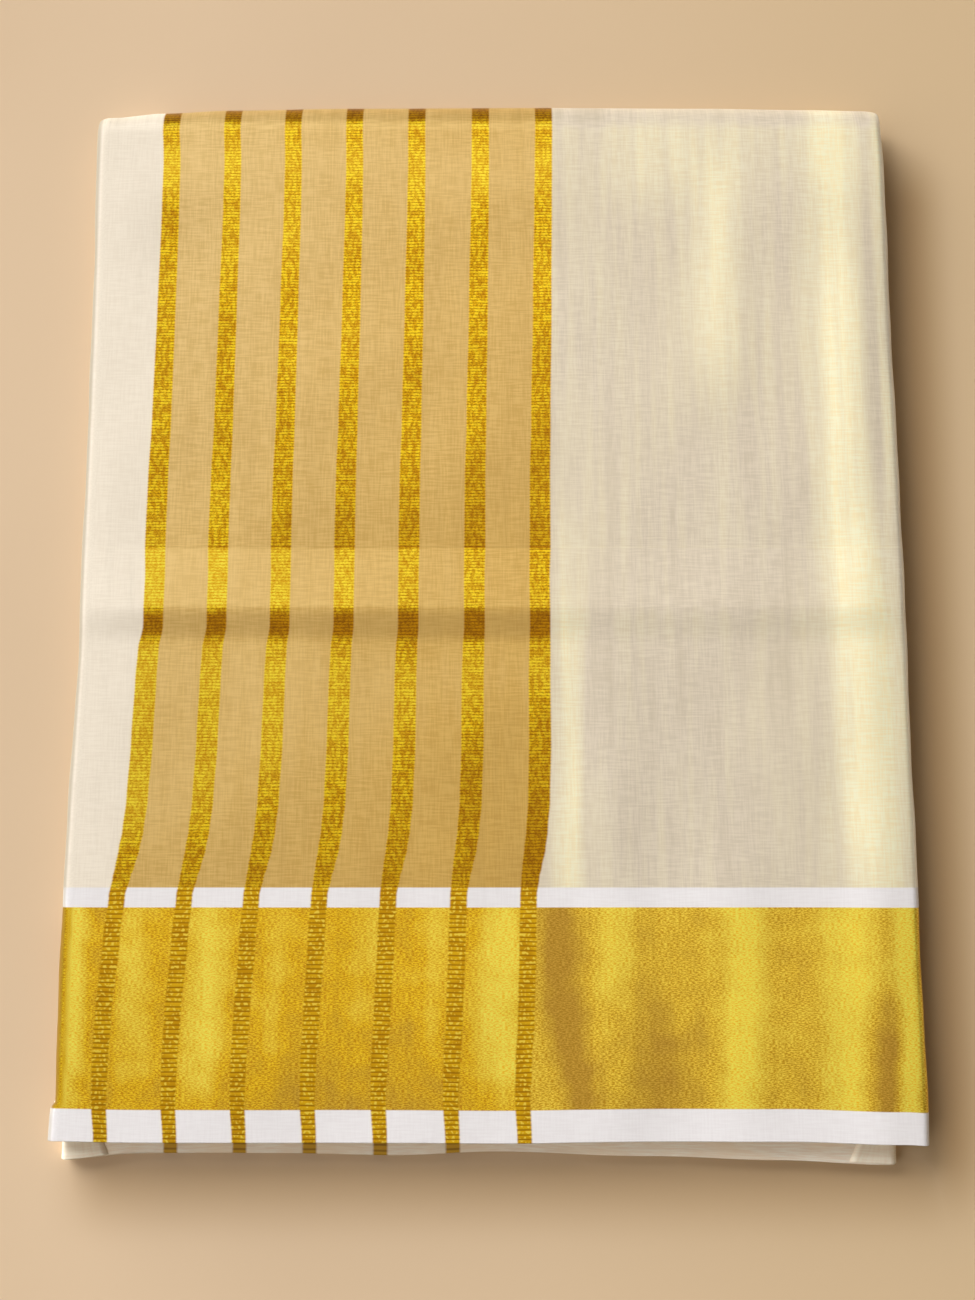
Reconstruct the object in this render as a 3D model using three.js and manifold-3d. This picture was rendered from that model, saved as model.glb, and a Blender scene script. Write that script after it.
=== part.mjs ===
// Folded tissue saree lying flat, in millimetres: Z up, X to the right, Y away from the near edge.
// The saree is rolled flat along its length into a strip one panel wide, and that strip is folded
// once across: an upper bundle lies on a lower one, and the outer cloth runs round the far fold.
import * as THREE from 'three'
import { mergeVertices } from 'three/addons/utils/BufferGeometryUtils.js'
import Module from 'manifold-3d'

const wasm = await Module()
wasm.setup()

// Cloth and gaps
const WALL = 1.1
const SEAM = 0.3
const LINING_GAP = 0.4
const PARTING = 0.4

// Bundles and far fold
const BUNDLE = 8.6
const HALF_HEIGHT = BUNDLE + PARTING
const FAR_TIP = 299
const FAR_REACH = 20
const FAR_SWELL = 2.5
const SWELL_LENGTH = 95
const SIDE_RETURN = 14
const HIDDEN_PARTING = 0.2
const STEP_CLEARANCE = 1.2

// Side edges of the upper and lower bundle, seen from above
const UPPER_SIDES = [
  { y: 299, left: -229.5, right: 229.5 },
  { y: 260, left: -229.4, right: 230.6 },
  { y: 120, left: -228.2, right: 231.0 },
  { y: 20, left: -228.0, right: 231.8 },
  { y: -14, left: -227.6, right: 231.2 },
  { y: -165, left: -230.0, right: 231.0 },
  { y: -266, left: -229.2, right: 231.0 },
  { y: -271, left: -231.8, right: 231.0 },
  { y: -288, left: -232.0, right: 230.8 },
]
const LOWER_SIDES = [
  { y: 299, left: -229.5, right: 229.5 },
  { y: 240, left: -228.5, right: 231.6 },
  { y: 60, left: -227.0, right: 232.0 },
  { y: -60, left: -226.0, right: 229.0 },
  { y: -180, left: -226.2, right: 222.0 },
  { y: -299, left: -227.2, right: 216.0 },
]

// Near selvedges of the upper bundle and of the lower one, whose lip shows beyond it
const NEAR_EDGES = [
  { x: -232, upper: -285.2, lower: -298.1 },
  { x: -185, upper: -285.9, lower: -294.3 },
  { x: -100, upper: -286.0, lower: -294.2 },
  { x: -47, upper: -286.0, lower: -295.2 },
  { x: 6, upper: -286.3, lower: -292.9 },
  { x: 80, upper: -285.4, lower: -295.2 },
  { x: 154, upper: -285.4, lower: -297.3 },
  { x: 216, upper: -287.0, lower: -300.2 },
  { x: 232, upper: -287.8, lower: -300.2 },
]

// How far the far fold falls short of its tip, rounding its two corners
const FAR_CORNERS = [
  { x: -232, short: 9.5 },
  { x: -222, short: 6.8 },
  { x: -192, short: 3.6 },
  { x: -153, short: 1.7 },
  { x: -82, short: 0.5 },
  { x: 33, short: 0 },
  { x: 125, short: 0.6 },
  { x: 190, short: 2.0 },
  { x: 219, short: 3.2 },
  { x: 232, short: 6.0 },
]

// Crease across the face: it climbs from its far foot to its crest and drops to its near foot
const CREASE = { farFoot: 31.7, crest: -2.3, nearFoot: -22.4, height: 1.6, sideHeight: 0.7, sideWidth: 40 }

// Soft ridges along the face
const FACE_RIDGES = [
  { x: 208, width: 24, height: 0.8, near: -290, far: 240 },
  { x: 138, width: 26, height: 0.6, near: 120, far: 262 },
  { x: 134, width: 30, height: 0.6, near: -290, far: -110 },
  { x: 68, width: 26, height: 0.6, near: -290, far: 20 },
  { x: -22, width: 34, height: 0.5, near: -290, far: -120 },
  { x: -112, width: 60, height: 0.4, near: -280, far: 240 },
]
const RIDGE_FADE = 45

// Leaves of hidden cloth at the near edge, from the top down: thickness to the next, and how far
// each edge stands back from the near edge of its bundle
const LEAF_GROOVE = 0.3
const GROOVE_DEPTH = 9
const UPPER_LEAVES = [
  { thick: 1.25, back: 1.4 },
  { thick: 1.15, back: 0.7 },
  { thick: 1.35, back: 2.6 },
  { thick: 1.15, back: 1.2 },
  { thick: 1.25, back: 3.2 },
  { thick: 1.15, back: 2.0 },
]
const LOWER_LEAVES = [
  { thick: 1.3, back: 0 },
  { thick: 1.15, back: 2.4 },
  { thick: 1.25, back: 1.0 },
  { thick: 1.15, back: 3.6 },
  { thick: 1.3, back: 1.8 },
  { thick: 1.15, back: 2.9 },
]
const BACK_PANEL_SETBACK = 1.2
const HIDDEN_UPPER_NEAR = -290
const HIDDEN_LOWER_NEAR = -302
const LEAF_WAVES = { size: 0.5, length: 74, turn: 1.9 }

// Grid steps
const ARC_STEPS = 7
const FACE_COLUMNS = 24
const HIDDEN_COLUMNS = 8
const FOLD_ROWS = 12
const LEAF_COLUMNS = 12
const FOLD_AXIS = FAR_TIP - FAR_REACH
const BORDER_START = -266
const SELVEDGE_START = -271
const UPPER_SPANS = [
  { to: SELVEDGE_START, steps: 1 },
  { to: BORDER_START, steps: 1 },
  { to: CREASE.nearFoot, steps: 8 },
  { to: CREASE.crest, steps: 3 },
  { to: CREASE.farFoot, steps: 4 },
  { to: FOLD_AXIS - SWELL_LENGTH, steps: 6 },
  { to: FOLD_AXIS - SEAM, steps: 8 },
]
const LOWER_SPANS = [
  { to: SELVEDGE_START, steps: 2 },
  { to: FOLD_AXIS - SWELL_LENGTH, steps: 10 },
  { to: FOLD_AXIS - SEAM, steps: 6 },
]

// Value of a table's column at a place, eased between its rows
function fromTable(rows, key, place, column) {
  const sorted = [...rows].sort((a, b) => a[key] - b[key])
  if (place <= sorted[0][key]) return sorted[0][column]
  const after = sorted.findIndex((row) => row[key] >= place)
  if (after < 0) return sorted[sorted.length - 1][column]
  const low = sorted[after - 1]
  const high = sorted[after]
  const share = (place - low[key]) / (high[key] - low[key])
  return THREE.MathUtils.lerp(low[column], high[column], THREE.MathUtils.smoothstep(share, 0, 1))
}

function farReach(x) {
  return FAR_REACH - fromTable(FAR_CORNERS, 'x', x, 'short')
}

// Extra height where the far fold springs open
function swellAt(y) {
  return FAR_SWELL * THREE.MathUtils.smoothstep(y, FOLD_AXIS - SWELL_LENGTH, FOLD_AXIS)
}

function midHeight(y) {
  return HALF_HEIGHT + swellAt(y) / 2
}

function creaseAt(x, y) {
  const { farFoot, crest, nearFoot, height, sideHeight, sideWidth } = CREASE
  const climb = y > crest ? (farFoot - y) / (farFoot - crest) : (y - nearFoot) / (crest - nearFoot)
  const inward = THREE.MathUtils.smoothstep(UPPER_SIDES[0].right - Math.abs(x), 0, sideWidth)
  return THREE.MathUtils.lerp(sideHeight, height, inward) * THREE.MathUtils.clamp(climb, 0, 1)
}

function ridgesAt(x, y) {
  let height = 0
  for (const ridge of FACE_RIDGES) {
    const across = (x - ridge.x) / ridge.width
    if (Math.abs(across) >= 1) continue
    const start = THREE.MathUtils.smoothstep(y, ridge.near - RIDGE_FADE / 2, ridge.near + RIDGE_FADE)
    const end = 1 - THREE.MathUtils.smoothstep(y, ridge.far - RIDGE_FADE, ridge.far)
    height += ridge.height * Math.cos((across * Math.PI) / 2) ** 2 * start * end
  }
  return height
}

// Places along the cloth's run, from the near edge of the upper bundle round the far fold to the
// near edge of the lower one. turned is 0 on the upper bundle and 1 on the lower one.
function runPlaces(part) {
  const places = []
  if (part === 'fold') {
    for (let i = 0; i <= FOLD_ROWS; i++) places.push({ y: FOLD_AXIS, turned: i / FOLD_ROWS })
    return places
  }
  const turned = part === 'upper' ? 0 : 1
  const spans = part === 'upper' ? UPPER_SPANS : LOWER_SPANS
  places.push({ atNearEdge: true, y: HIDDEN_UPPER_NEAR, turned })
  for (const { to, steps } of spans) {
    const from = places[places.length - 1].y
    const first = places.length === 1 ? steps : 1
    for (let i = first; i <= steps; i++) places.push({ y: THREE.MathUtils.lerp(from, to, i / steps), turned })
  }
  return part === 'upper' ? places : places.reverse()
}

// Side edges at a place along the run, blended round the fold
function sidesAt({ turned }, y) {
  const edge = (column) => {
    const upper = fromTable(UPPER_SIDES, 'y', y, column)
    return THREE.MathUtils.lerp(upper, fromTable(LOWER_SIDES, 'y', y, column), turned)
  }
  return { left: edge('left'), right: edge('right') }
}

// Stations across one bundle's section, from its left return over the top to its right return.
// Each names the part of the section that it lies on and its place along that part.
function sectionStations(columns) {
  const stations = [{ on: 'leftReturn' }]
  for (let i = 0; i <= ARC_STEPS; i++) stations.push({ on: 'leftArc', share: i / ARC_STEPS })
  for (let i = 1; i < columns; i++) stations.push({ on: 'top', share: i / columns })
  for (let i = 0; i <= ARC_STEPS; i++) stations.push({ on: 'rightArc', share: i / ARC_STEPS })
  stations.push({ on: 'rightReturn' })
  return stations
}

// A station's place in the section: x, height over the return's outer face, and outward normal
function sectionPoint(station, sides, depth, inset) {
  const radius = depth / 2
  const skin = radius - inset
  if (station.on === 'leftReturn') return { x: sides.left + SIDE_RETURN, n: inset, outX: 0, outN: -1 }
  if (station.on === 'rightReturn') return { x: sides.right - SIDE_RETURN, n: inset, outX: 0, outN: -1 }
  if (station.on === 'top') {
    const x = THREE.MathUtils.lerp(sides.left + radius, sides.right - radius, station.share)
    return { x, n: depth - inset, outX: 0, outN: 1 }
  }
  const isLeft = station.on === 'leftArc'
  const angle = isLeft ? -Math.PI / 2 - station.share * Math.PI : Math.PI / 2 - station.share * Math.PI
  const centre = isLeft ? sides.left + radius : sides.right - radius
  const outX = Math.cos(angle)
  const outN = Math.sin(angle)
  return { x: centre + skin * outX, n: radius + skin * outN, outX, outN }
}

// How far the fold's section is stretched towards the far tip, at an x
function foldStretch({ turned }, x) {
  return turned > 0 && turned < 1 ? farReach(x) / midHeight(FOLD_AXIS) : 1
}

// The place at a distance from the middle plane, turned round the fold's axis
function aroundFold(place, x, y, fromMiddle) {
  const turn = place.turned * Math.PI
  return new THREE.Vector3(
    x,
    y + foldStretch(place, x) * fromMiddle * Math.sin(turn),
    midHeight(y) + fromMiddle * Math.cos(turn),
  )
}

// A section point's place in space. inset is how deep it lies under the outer surface, and relief
// is 1 where the crease and the ridges are raised and 0 where they aren't.
function clothPoint(place, station, inset, nearEdge, relief) {
  const roughX = sectionPoint(station, sidesAt(place, place.y), BUNDLE, inset).x
  const y = place.atNearEdge ? nearEdge(roughX) : place.y
  const turn = place.turned * Math.PI
  const slim = Math.hypot(foldStretch(place, roughX) * Math.sin(turn), Math.cos(turn))
  const { x, n, outN } = sectionPoint(station, sidesAt(place, y), midHeight(y) - PARTING, inset)
  let fromMiddle = PARTING + n + outN * inset * (1 - 1 / slim)
  if (place.turned === 0 && outN > 0) fromMiddle += relief * outN * (creaseAt(x, y) + ridgesAt(x, y))
  return aroundFold(place, x, y, fromMiddle)
}

function geometryFrom(points, triangles) {
  const geometry = new THREE.BufferGeometry()
  geometry.setAttribute('position', new THREE.Float32BufferAttribute(points.flatMap((p) => p.toArray()), 3))
  geometry.setIndex(triangles)
  return mergeVertices(geometry, 1e-4)
}

// Closed wall between an outer and an inner grid of rows, its four rims filled
function wallGeometry(outer, inner) {
  const rows = outer.length
  const columns = outer[0].length
  const points = [...outer.flat(), ...inner.flat()]
  const innerStart = rows * columns
  const at = (row, column) => row * columns + column
  const triangles = []
  const quad = (a, b, c, d) => triangles.push(a, b, c, a, c, d)
  for (let r = 0; r + 1 < rows; r++) {
    for (let c = 0; c + 1 < columns; c++) {
      const [a, b, d, e] = [at(r, c), at(r, c + 1), at(r + 1, c + 1), at(r + 1, c)]
      quad(a, b, d, e)
      quad(innerStart + a, innerStart + e, innerStart + d, innerStart + b)
    }
  }
  const rim = []
  for (let c = 0; c < columns; c++) rim.push(at(0, c))
  for (let r = 1; r < rows; r++) rim.push(at(r, columns - 1))
  for (let c = columns - 2; c >= 0; c--) rim.push(at(rows - 1, c))
  for (let r = rows - 2; r > 0; r--) rim.push(at(r, 0))
  rim.forEach((from, i) => {
    const to = rim[(i + 1) % rim.length]
    quad(from, innerStart + from, innerStart + to, to)
  })
  return geometryFrom(points, triangles)
}

// One stretch of the outer cloth
function clothWall(part, nearEdge) {
  const stations = sectionStations(FACE_COLUMNS)
  const grid = (inset) => runPlaces(part).map((place) => (
    stations.map((station) => clothPoint(place, station, inset, nearEdge, 1))
  ))
  return wallGeometry(grid(0), grid(WALL))
}

const upperNear = (x) => fromTable(NEAR_EDGES, 'x', x, 'upper')
const lowerNear = (x) => fromTable(NEAR_EDGES, 'x', x, 'lower')
const backPanelNear = (x) => lowerNear(x) + BACK_PANEL_SETBACK

// Closed loop of the hidden layers' section: its flanges clear the outer cloth's returns, and
// between them it comes down to the parting between the bundles
function hiddenLoop(place) {
  const frontEdge = () => (place.turned === 0 ? HIDDEN_UPPER_NEAR : HIDDEN_LOWER_NEAR)
  const loop = []
  for (const station of sectionStations(HIDDEN_COLUMNS)) {
    const point = clothPoint(place, station, WALL + LINING_GAP, frontEdge, 0)
    if (!station.on.endsWith('Return')) {
      loop.push(point)
      continue
    }
    const stepX = point.x - Math.sign(point.x) * STEP_CLEARANCE
    const y = place.atNearEdge ? frontEdge() : place.y
    const foot = aroundFold(place, stepX, y, HIDDEN_PARTING)
    const shoulder = new THREE.Vector3(stepX, point.y, point.z)
    if (station.on === 'leftReturn') loop.push(foot, shoulder)
    if (station.on === 'rightReturn') loop.push(shoulder, foot)
  }
  return loop
}

function asManifold(geometry) {
  const bare = geometry.clone()
  bare.deleteAttribute('normal')
  bare.deleteAttribute('uv')
  const merged = mergeVertices(bare, 1e-4)
  return new wasm.Manifold(new wasm.Mesh({
    numProp: 3,
    vertProperties: new Float32Array(merged.attributes.position.array),
    triVerts: new Uint32Array(merged.index.array),
  }))
}

function asGeometry(manifold) {
  const { vertProperties, triVerts } = manifold.getMesh()
  const geometry = new THREE.BufferGeometry()
  geometry.setAttribute('position', new THREE.Float32BufferAttribute(vertProperties, 3))
  geometry.setIndex([...triVerts])
  return geometry
}

// The hidden layers before their near edges are parted into leaves
function hiddenCore() {
  const loops = ['upper', 'fold', 'lower'].flatMap((part) => runPlaces(part).map(hiddenLoop))
  const size = loops[0].length
  const triangles = []
  for (let r = 0; r + 1 < loops.length; r++) {
    for (let i = 0; i < size; i++) {
      const next = (i + 1) % size
      const [a, b] = [r * size + i, r * size + next]
      triangles.push(a, b, b + size, a, b + size, a + size)
    }
  }
  // Each end is closed by a ladder of rungs from one side to the other, and is trimmed off later
  const lastRow = (loops.length - 1) * size
  for (let i = 0; i < size / 2 - 1; i++) {
    const [a, b, c, d] = [i, i + 1, size - 2 - i, size - 1 - i]
    triangles.push(a, c, b, a, d, c)
    triangles.push(lastRow + a, lastRow + b, lastRow + c, lastRow + a, lastRow + c, lastRow + d)
  }
  return geometryFrom(loops.flat(), triangles)
}

// A slab in front of an edge line, used to trim a leaf or to cut the groove under it
function slabInFront(edge, top, thickness) {
  const outline = new THREE.Shape()
  const reach = 1.1 * UPPER_SIDES[0].right
  const front = HIDDEN_LOWER_NEAR - GROOVE_DEPTH
  outline.moveTo(-reach, front)
  outline.lineTo(reach, front)
  for (let i = 0; i <= LEAF_COLUMNS; i++) {
    const x = THREE.MathUtils.lerp(reach, -reach, i / LEAF_COLUMNS)
    outline.lineTo(x, edge(x))
  }
  outline.closePath()
  const slab = new THREE.ExtrudeGeometry(outline, { depth: thickness, bevelEnabled: false, steps: 1 })
  return asManifold(slab.translate(0, 0, top - thickness))
}

// Near edges of one bundle's leaves, cut one by one from the top down. Neighbouring cuts meet
// halfway up the groove between their leaves.
function cutLeaves(solid, leaves, top, nearEdge) {
  let leafTop = top
  let result = solid
  leaves.forEach((leaf, i) => {
    const wave = (x) => LEAF_WAVES.size * Math.sin(x / LEAF_WAVES.length + i * LEAF_WAVES.turn)
    const edge = (x) => nearEdge(x) + leaf.back + LEAF_WAVES.size + wave(x)
    const leafBottom = leafTop - leaf.thick
    const isLast = i === leaves.length - 1
    const cutTop = i === 0 ? leafTop + BUNDLE / 2 : leafTop + LEAF_GROOVE / 2
    const cutBottom = isLast ? leafBottom - WALL : leafBottom + LEAF_GROOVE / 2
    result = result.subtract(slabInFront(edge, cutTop, cutTop - cutBottom))
    if (!isLast) {
      const groove = (x) => edge(x) + GROOVE_DEPTH
      result = result.subtract(slabInFront(groove, leafBottom + LEAF_GROOVE, LEAF_GROOVE))
    }
    leafTop = leafBottom
  })
  return result
}

function hiddenLayers() {
  const inset = WALL + LINING_GAP
  const whole = asManifold(hiddenCore())
  const upperTop = 2 * HALF_HEIGHT - inset
  const lowerTop = HALF_HEIGHT - HIDDEN_PARTING
  const upperCut = cutLeaves(whole, UPPER_LEAVES, upperTop, upperNear)
  return asGeometry(cutLeaves(upperCut, LOWER_LEAVES, lowerTop, lowerNear))
}

const TISSUE = { color: 0xddd6c4, roughness: 0.5, metalness: 0.15 }
const GOLD_TISSUE = { color: 0xd3b478, roughness: 0.42, metalness: 0.4 }
const COTTON = { color: 0xe9e5dc, roughness: 0.8, metalness: 0 }

function named(name, geometry, finish) {
  geometry.computeVertexNormals()
  const mesh = new THREE.Mesh(geometry, new THREE.MeshStandardMaterial(finish))
  mesh.name = name
  return mesh
}

const saree = new THREE.Group()
saree.name = 'folded_tissue_saree'
saree.add(named('face_panel', clothWall('upper', upperNear), GOLD_TISSUE))
saree.add(named('far_fold', clothWall('fold', upperNear), GOLD_TISSUE))
saree.add(named('back_panel', clothWall('lower', backPanelNear), TISSUE))
saree.add(named('hidden_layers', hiddenLayers(), COTTON))

export default saree
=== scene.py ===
# Folded tissue saree, lying flat on a pale floor under soft light.
# Lengths in the tables are in millimetres and become metres when a mesh is made.
import math

import bpy
import numpy as np
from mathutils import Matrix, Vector


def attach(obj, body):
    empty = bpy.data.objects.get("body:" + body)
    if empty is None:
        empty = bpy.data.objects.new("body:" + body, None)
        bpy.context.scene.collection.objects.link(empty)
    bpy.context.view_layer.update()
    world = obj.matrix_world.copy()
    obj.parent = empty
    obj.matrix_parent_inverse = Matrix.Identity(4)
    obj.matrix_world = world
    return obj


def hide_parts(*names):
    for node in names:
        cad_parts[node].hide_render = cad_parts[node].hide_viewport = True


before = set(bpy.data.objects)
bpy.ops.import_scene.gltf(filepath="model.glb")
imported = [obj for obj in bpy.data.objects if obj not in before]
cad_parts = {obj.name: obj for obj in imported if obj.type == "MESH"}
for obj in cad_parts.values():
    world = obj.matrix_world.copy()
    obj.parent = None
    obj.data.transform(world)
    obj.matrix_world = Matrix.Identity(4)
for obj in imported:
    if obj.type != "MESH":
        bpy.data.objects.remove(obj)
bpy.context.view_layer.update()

MM = 0.001

# Cloth and bundles, as in the solids
PARTING = 0.4
BUNDLE = 8.6
HALF_HEIGHT = BUNDLE + PARTING
FAR_TIP = 299.0
FAR_REACH = 20.0
FAR_SWELL = 2.5
SWELL_LENGTH = 95.0
FOLD_AXIS = FAR_TIP - FAR_REACH
SIDE_RETURN = 14.0
SHEET = 0.42

# Side returns: thickness left at their pressed ends, how far in the pressing starts, and how much
# wider they get at the lip
PRESSED_EDGE = 0.06
PRESSED_FROM = 1.5
LIP_RETURN = {"y": [-300, -268], "wider": [1.4, 0.0]}

# Side edges of both bundles seen from above, near to far
UPPER_SIDES = {
    "y": [-288, -271, -266, -165, -14, 20, 120, 260, 299],
    "left": [-232.0, -231.8, -229.2, -230.0, -227.6, -228.0, -228.2, -229.4, -229.5],
    "right": [230.8, 231.0, 231.0, 231.0, 231.2, 231.8, 231.0, 230.6, 229.5],
}
LOWER_SIDES = {
    "y": [-299, -180, -60, 60, 240, 299],
    "left": [-227.2, -226.2, -226.0, -227.0, -228.5, -229.5],
    "right": [216.0, 222.0, 229.0, 232.0, 231.6, 229.5],
}

# Near selvedges of the upper bundle and of the lower one, whose lip shows
NEAR_EDGES = {
    "x": [-232, -185, -100, -47, 6, 80, 154, 216, 232],
    "upper": [-285.2, -285.9, -286.0, -286.0, -286.3, -285.4, -285.4, -287.0, -287.8],
    "lower": [-298.1, -294.3, -294.2, -295.2, -292.9, -295.2, -297.3, -300.2, -300.2],
}
NEAR_MEAN = {"upper": -286.0, "lower": -296.0}
EDGE_FADE = 150.0
EDGE_ROW = 0.35
STRIP_CROWDING = 1.4
BACK_PANEL_SETBACK = 1.2

# How far the far fold falls short of its tip, rounding its corners
CORNER_SQUARE = 0.8
FAR_CORNERS = {
    "x": [-232, -222, -192, -153, -82, 33, 125, 190, 219, 232],
    "short": [8.2, 6.8, 3.8, 1.8, 0.5, 0.0, 0.5, 1.5, 2.2, 3.4],
}

# The crease across the face climbs from its far foot to its crest and drops to its near foot
CREASE = {"far_foot": 31.7, "crest": -2.3, "near_foot": -22.4, "height": 1.6, "side_height": 0.7}
CREASE_SIDE_WIDTH = 40.0
LINE_HALF = 1.1

# Soft ridges along the face: middle, half width, height, near end, far end
FACE_RIDGES = [
    {"x": 208, "width": 24, "height": 0.8, "near": -290, "far": 240},
    {"x": 138, "width": 26, "height": 0.6, "near": 120, "far": 262},
    {"x": 134, "width": 30, "height": 0.6, "near": -290, "far": -110},
    {"x": 68, "width": 26, "height": 0.6, "near": -290, "far": 20},
    {"x": -22, "width": 34, "height": 0.5, "near": -290, "far": -120},
    {"x": -112, "width": 60, "height": 0.4, "near": -280, "far": 240},
]
RIDGE_FADE = 45.0

# Slow undulations of the face: waves across, waves along, turn, height
UNDULATIONS = [
    {"across": 1 / 168, "along": 1 / 240, "turn": 0.6, "height": 0.16},
    {"across": -1 / 96, "along": 1 / 150, "turn": 2.1, "height": 0.10},
    {"across": 1 / 61, "along": 1 / 330, "turn": 4.0, "height": 0.06},
    {"across": 1 / 210, "along": -1 / 74, "turn": 1.2, "height": 0.07},
]
# They fade out beside the side folds and before the far fold
UNDULATION_SIDE_WIDTH = 24
UNDULATION_FAR_END = {"start": FOLD_AXIS - 45, "end": FOLD_AXIS - 5}

# How far the side folds wave in and out along their length, the right one out of step by a turn
SIDE_WAVES = [
    {"along": 1 / 118, "turn": 0.4, "height": 0.28},
    {"along": 1 / 47, "turn": 2.6, "height": 0.14},
]
RIGHT_SIDE_TURN = 2.2

# Gold bands along the run of the upper bundle: centres of the first and the last band, which drift
# to the left towards the near selvedge, and half a band's width
BAND_COUNT = 7
BAND_DRIFT = {
    "y": [-286, -264, -244, -224, -182, -159, -150, -143, -135, -124, -108, -76, -43, -26, -12,
          13, 35, 70, 105, 176, 237, 256, 299],
    "first": [-203.2, -204.9, -205.0, -204.3, -201.6, -199.6, -197.6, -195.8, -194.1, -192.3,
              -190.8, -189.4, -188.5, -187.8, -185.4, -185.4, -186.2, -186.0, -185.3, -184.9,
              -184.3, -184.3, -186.4],
    "last": [18.4, 17.5, 18.2, 19.6, 20.6, 21.0, 22.0, 23.1, 24.5, 25.8,
             27.0, 27.7, 27.6, 27.9, 28.1, 27.9, 28.4, 28.5, 29.2, 30.4,
             31.2, 31.5, 32.0],
    "half": [3.7, 4.0, 4.3, 4.4, 4.5, 4.4, 4.8, 5.3, 5.7, 5.8,
             5.9, 6.0, 5.9, 5.8, 5.6, 5.6, 5.8, 5.7, 5.5, 5.3,
             5.1, 5.0, 4.9],
}
# How far to the right of that, or to the left below 0, they lie underneath, out to the lip
LIP_DRIFT = {"first": -2.4, "last": 0.4}
# Where each band lies between the first and the last
BAND_PLACES = [0.0, 0.1635, 0.3265, 0.4915, 0.6585, 0.8300, 1.0]

# How strongly slopes change the zari's painted highlight and painted shade, within limits, and how dark
# the painted shade of the crease's line is
FACING_GAIN = 12.0
FACING_LIMITS = (-1.1, 0.6)
LINE_PAINTED_SHADE = 0.9
# Slow change of that painted light and shade along the face; lean adds to it on the left and takes it
# away on the right, wholly so from LEAN_HALF either side of the bands' middle
LEAN_HALF = 110
FACE_PAINTED_LIGHT = {
    "y": [-286, -160, -150, -110, -40, -24, -4, 2, 28, 36, 60, 150, 232, 262, 279],
    "tone": [-0.1, -0.3, -0.45, 0.0, 0.5, 0.2, 0.1, 0.05, 0.0, -0.30, -0.15, 0.0, 0.05, 0.4, 0.1],
    "lean": [0.3, 0.3, 0.25, 0.6, 0.25, 0.2, 0.15, 0.5, 0.6, 0.35, 0.2, 0.1, 0.0, 0.1, 0.0],
}

# Painted sheen: soft columns of painted highlight on the zari, or of painted shade where the amount
# is below 0. Each row gives the middle, half width, near end, far end, fade at the ends, amount, and
# lean: how far the middle moves to the right over 100 mm towards the far fold.
TISSUE_PAINTED_SHEEN = [
    (211, 33, -170, 60, 60, 1.20, -3.0),
    (200, 27, 60, 300, 60, 0.90, 0.0),
    (131, 23, 130, 268, 34, 0.62, 0.0),
    (43, 13, -170, 0, 24, 0.75, 0.0),
    (46, 14, 0, 50, 24, 0.30, 0.0),
    (100, 50, 240, 290, 22, 0.25, 0.0),
    (217, 8, 20, 300, 40, -0.30, 0.0),
    (225, 6, 60, 300, 40, 0.60, 0.0),
    (90, 200, 240, 300, 22, 0.20, 0.0),
    (140, 240, 110, 320, 50, 0.14, 0.0),
    (190, 60, 252, 300, 16, 0.20, 0.0),
]
BORDER_PAINTED_SHEEN = [
    (-224, 13, -272, -160, 8, 1.0, 0.0),
    (-204, 9, -272, -160, 8, -0.30, 0.0),
    (-190, 15, -256, -160, 24, 0.60, 3.0),
    (-154, 17, -266, -160, 20, 0.95, 3.0),
    (-117, 13, -250, -160, 20, 0.30, 3.0),
    (-68, 18, -250, -160, 22, 0.35, 3.0),
    (-30, 15, -248, -160, 22, 0.40, 3.0),
    (6, 20, -262, -160, 20, 1.15, 2.0),
    (50, 21, -276, -160, 12, -0.85, -12.0),
    (43, 15, -262, -160, 12, -0.30, -8.0),
    (64, 16, -214, -150, 22, 0.80, 4.0),
    (96, 34, -290, -222, 24, -0.60, 0.0),
    (84, 18, -290, -206, 26, -0.25, 0.0),
    (129, 19, -290, -150, 10, 1.15, 6.0),
    (186, 26, -300, -150, 30, 1.05, 8.0),
    (209, 18, -290, -212, 24, -1.25, -2.0),
    (222, 10, -290, -150, 8, 1.40, -2.0),
    (-90, 130, -290, -254, 14, -0.35, 0.0),
    (-56, 90, -290, -218, 18, -0.35, 0.0),
]
# How far each column wavers from side to side: as much as its warp, in a long and a short wave
TISSUE_WARP = 0.8
BORDER_WARP = 2.0
LONG_WAVE = 29
SHORT_WAVE = 11

# Painted light and painted shade on the cloth as it rolls over the far fold, the tilts between which
# one turns into the other, and the part of the roll over which both end
PAINTED_ROLL_FACING = {"lift": 0.5, "fall": 0.8, "tilts": (7, 14)}
PAINTED_ROLL_SHEEN = {"lift": 0.0, "fall": 0.60, "tilts": (0, 17)}
ROLL_END = (0.5, 0.9)

# Woven zones, from either selvedge inwards
SELVEDGE_WIDTH = 16.5
BORDER_END = 120.6
WHITE_LINE_END = 131.1


def eased(table, key, places, column):
    """A table's column at each place, eased between its rows."""
    keys = np.asarray(table[key], float)
    values = np.asarray(table[column], float)
    places = np.asarray(places, float)
    low = np.clip(np.searchsorted(keys, places) - 1, 0, len(keys) - 2)
    share = np.clip((places - keys[low]) / (keys[low + 1] - keys[low]), 0, 1)
    return values[low] + (values[low + 1] - values[low]) * share * share * (3 - 2 * share)


def smooth(values, start, end):
    """0 before start and 1 after end, eased between them."""
    share = np.clip((np.asarray(values, float) - start) / (end - start), 0, 1)
    return share * share * (3 - 2 * share)


def mid_height(y):
    return HALF_HEIGHT + FAR_SWELL / 2 * smooth(y, FOLD_AXIS - SWELL_LENGTH, FOLD_AXIS)


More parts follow.
